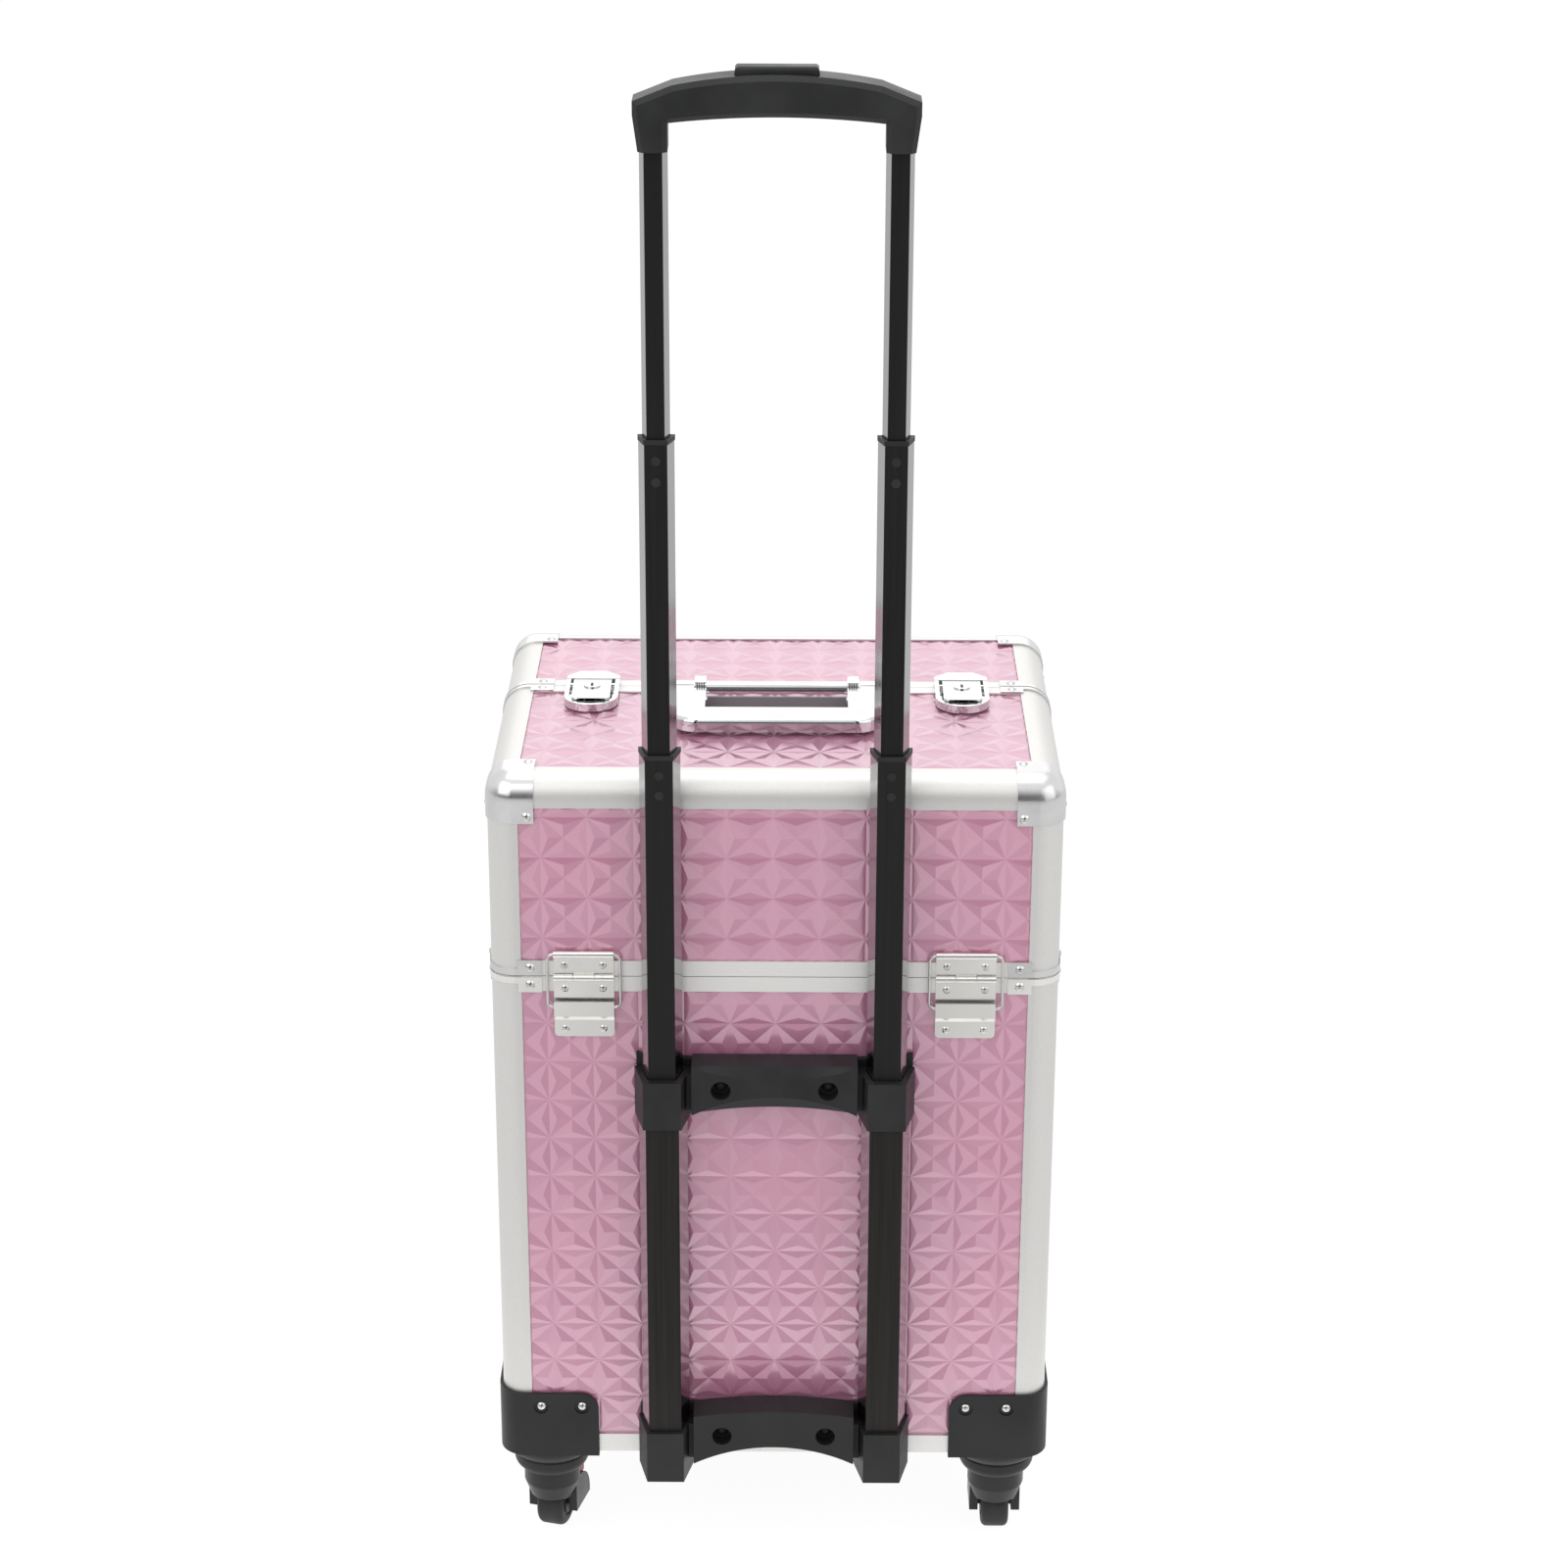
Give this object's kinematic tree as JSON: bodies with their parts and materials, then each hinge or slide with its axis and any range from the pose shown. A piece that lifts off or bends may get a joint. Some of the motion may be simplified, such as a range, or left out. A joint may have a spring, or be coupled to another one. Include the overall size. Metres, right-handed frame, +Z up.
{
  "type": "rolling makeup train case",
  "caption": "Upright rolling cosmetics case with embossed pink panels, aluminium edges, split lid with inner trays, swivel casters and a telescopic pull handle.",
  "frame": {"origin": "on the floor under the middle of the whole object's box, handle raised", "axes": "+Z up, +X to the right and +Y away as seen from the trolley side, which faces -Y"},
  "size_m": [0.365, 0.3138, 1.003],
  "materials": {
    "pink_foil": "metallic pink foil embossed with small pyramids, on board",
    "satin_aluminium": "satin extrusion",
    "polished_steel": "polished pressed steel",
    "black_tube": "black faces with polished bevels",
    "black_plastic": "matte moulding",
    "wheel_rubber": "matte tread",
    "tray_plastic": "matte tray"
  },
  "bodies": {
    "lower_box": {"lower_back_panel": "pink_foil", "lower_front_panel": "pink_foil", "lower_side_panels": "pink_foil", "bottom_panel": "pink_foil", "lower_corner_posts": "satin_aluminium", "bottom_edge_trims": "satin_aluminium", "lower_rim_rails": "satin_aluminium", "lower_rim_clips": "polished_steel", "hinge_lower_leaves": "polished_steel", "hinge_pins": "polished_steel", "trolley_outer_tubes": "black_tube", "trolley_upper_bracket": "black_plastic", "trolley_lower_bracket": "black_plastic", "corner_shoes": "black_plastic", "rear_tray_arms": "polished_steel", "rear_lower_tray": "tray_plastic", "rear_upper_tray": "tray_plastic", "lower_box_rivets": "polished_steel"},
    "rear_lid": {"rear_lid_back_panel": "pink_foil", "rear_lid_top_panel": "pink_foil", "rear_lid_side_panels": "pink_foil", "rear_lid_edge_trims": "satin_aluminium", "rear_lid_rails": "satin_aluminium", "rear_lid_corner_fittings": "polished_steel", "rear_lid_rivets": "polished_steel", "rear_hinge_upper_leaves": "polished_steel", "latch_base_plates": "polished_steel", "carry_handle_base": "polished_steel"},
    "front_lid": {"front_lid_front_panel": "pink_foil", "front_lid_top_panel": "pink_foil", "front_lid_side_panels": "pink_foil", "front_lid_edge_trims": "satin_aluminium", "front_lid_rails": "satin_aluminium", "front_lid_corner_fittings": "polished_steel", "front_lid_rivets": "polished_steel", "front_hinge_upper_leaves": "polished_steel", "latch_catch_plates": "polished_steel"},
    "stop_loops": {"rear_stop_loops": "polished_steel"},
    "carry_handle": {"carry_handle_grip": "polished_steel"},
    "left_latch": {"latch_lever_left": "polished_steel"},
    "right_latch": {"latch_lever_right": "polished_steel"},
    "first_stage": {"trolley_first_stage_tubes": "black_tube", "trolley_first_stage_collars": "black_plastic"},
    "second_stage": {"trolley_second_stage_tubes": "black_tube", "trolley_second_stage_collars": "black_plastic"},
    "third_stage": {"trolley_third_stage_tubes": "black_tube", "trolley_grip": "black_plastic"},
    "release_button": {"grip_release_button": "black_plastic"},
    "front_fore_arms": {"front_tray_fore_arms": "polished_steel"},
    "front_aft_arms": {"front_tray_aft_arms": "polished_steel"},
    "front_lower_tray_body": {"front_lower_tray": "tray_plastic"},
    "front_upper_tray_body": {"front_upper_tray": "tray_plastic"},
    "rear_left_fork": {"caster_fork_rear_left": "black_plastic"},
    "rear_left_wheel": {"caster_wheel_rear_left": "wheel_rubber"},
    "rear_right_fork": {"caster_fork_rear_right": "black_plastic"},
    "rear_right_wheel": {"caster_wheel_rear_right": "wheel_rubber"},
    "front_left_fork": {"caster_fork_front_left": "black_plastic"},
    "front_left_wheel": {"caster_wheel_front_left": "wheel_rubber"},
    "front_right_fork": {"caster_fork_front_right": "black_plastic"},
    "front_right_wheel": {"caster_wheel_front_right": "wheel_rubber"}
  },
  "joints": [
    {"name": "rear_lid_hinge", "type": "hinge", "parent": "lower_box", "child": "rear_lid", "pos_m": [0, -0.1305, 0.426], "axis": [1, 0, 0], "range_deg": [0, 2.5]},
    {"name": "front_lid_hinge", "type": "hinge", "parent": "lower_box", "child": "front_lid", "pos_m": [0, 0.1547, 0.426], "axis": [-1, 0, 0], "range_deg": [0, 100]},
    {"name": "stop_loop_swing", "type": "hinge", "parent": "rear_lid", "child": "stop_loops", "pos_m": [0, -0.1303, 0.442], "axis": [1, 0, 0], "range_deg": [-1.14, 0]},
    {"name": "carry_handle_swing", "type": "hinge", "parent": "rear_lid", "child": "carry_handle", "pos_m": [0, 0.0151, 0.5675], "axis": [-1, 0, 0], "range_deg": [0, 90]},
    {"name": "left_latch_lever", "type": "hinge", "parent": "rear_lid", "child": "left_latch", "pos_m": [-0.121, 0.0301, 0.5635], "axis": [-1, 0, 0], "range_deg": [0, 75]},
    {"name": "right_latch_lever", "type": "hinge", "parent": "rear_lid", "child": "right_latch", "pos_m": [0.121, 0.0301, 0.5635], "axis": [-1, 0, 0], "range_deg": [0, 75]},
    {"name": "first_stage_slide", "type": "slide", "parent": "lower_box", "child": "first_stage", "axis": [0, 0, -1], "range_m": [0, 0.213]},
    {"name": "second_stage_slide", "type": "slide", "parent": "first_stage", "child": "second_stage", "axis": [0, 0, -1], "range_m": [0, 0.191]},
    {"name": "third_stage_slide", "type": "slide", "parent": "second_stage", "child": "third_stage", "axis": [0, 0, -1], "range_m": [0, 0.168]},
    {"name": "release_button_press", "type": "slide", "parent": "third_stage", "child": "release_button", "axis": [0, 0, -1], "range_m": [0, 0.0035], "stiffness_N_per_m": 300, "springref_m": -0.003},
    {"name": "front_fore_arm_swing", "type": "hinge", "parent": "lower_box", "child": "front_fore_arms", "pos_m": [0, 0.1361, 0.413], "axis": [-1, 0, 0], "range_deg": [0, 65]},
    {"name": "front_aft_arm_swing", "type": "hinge", "parent": "lower_box", "child": "front_aft_arms", "pos_m": [0, 0.1111, 0.413], "axis": [-1, 0, 0], "range_deg": [0, 65]},
    {"name": "front_lower_tray_swing", "type": "hinge", "parent": "front_fore_arms", "child": "front_lower_tray_body", "pos_m": [0, 0.10428, 0.44482], "axis": [-1, 0, 0], "range_deg": [-65, 0]},
    {"name": "front_upper_tray_swing", "type": "hinge", "parent": "front_fore_arms", "child": "front_upper_tray_body", "pos_m": [0, 0.06539, 0.48371], "axis": [-1, 0, 0], "range_deg": [-65, 0]},
    {"name": "rear_left_swivel", "type": "hinge", "parent": "lower_box", "child": "rear_left_fork", "pos_m": [-0.15, -0.0979, 0.0514], "axis": [0, 0, 1], "continuous": true},
    {"name": "rear_left_roll", "type": "hinge", "parent": "rear_left_fork", "child": "rear_left_wheel", "pos_m": [-0.14819, -0.09114, 0.017], "axis": [0.9659, -0.2588, 0], "continuous": true},
    {"name": "rear_right_swivel", "type": "hinge", "parent": "lower_box", "child": "rear_right_fork", "pos_m": [0.15, -0.0979, 0.0514], "axis": [0, 0, 1], "continuous": true},
    {"name": "rear_right_roll", "type": "hinge", "parent": "rear_right_fork", "child": "rear_right_wheel", "pos_m": [0.15, -0.0909, 0.017], "axis": [1, 0, 0], "continuous": true},
    {"name": "front_left_swivel", "type": "hinge", "parent": "lower_box", "child": "front_left_fork", "pos_m": [-0.15, 0.1221, 0.0514], "axis": [0, 0, 1], "continuous": true},
    {"name": "front_left_roll", "type": "hinge", "parent": "front_left_fork", "child": "front_left_wheel", "pos_m": [-0.15, 0.1291, 0.017], "axis": [1, 0, 0], "continuous": true},
    {"name": "front_right_swivel", "type": "hinge", "parent": "lower_box", "child": "front_right_fork", "pos_m": [0.15, 0.1221, 0.0514], "axis": [0, 0, 1], "continuous": true},
    {"name": "front_right_roll", "type": "hinge", "parent": "front_right_fork", "child": "front_right_wheel", "pos_m": [0.15, 0.1291, 0.017], "axis": [1, 0, 0], "continuous": true}
  ],
  "couplings": [
    {"joint": "stop_loop_swing", "follows": "rear_lid_hinge", "ratio": -0.455},
    {"joint": "front_fore_arm_swing", "follows": "front_lid_hinge", "ratio": 0.65},
    {"joint": "front_aft_arm_swing", "follows": "front_lid_hinge", "ratio": 0.65},
    {"joint": "front_lower_tray_swing", "follows": "front_lid_hinge", "ratio": -0.65},
    {"joint": "front_upper_tray_swing", "follows": "front_lid_hinge", "ratio": -0.65}
  ]
}
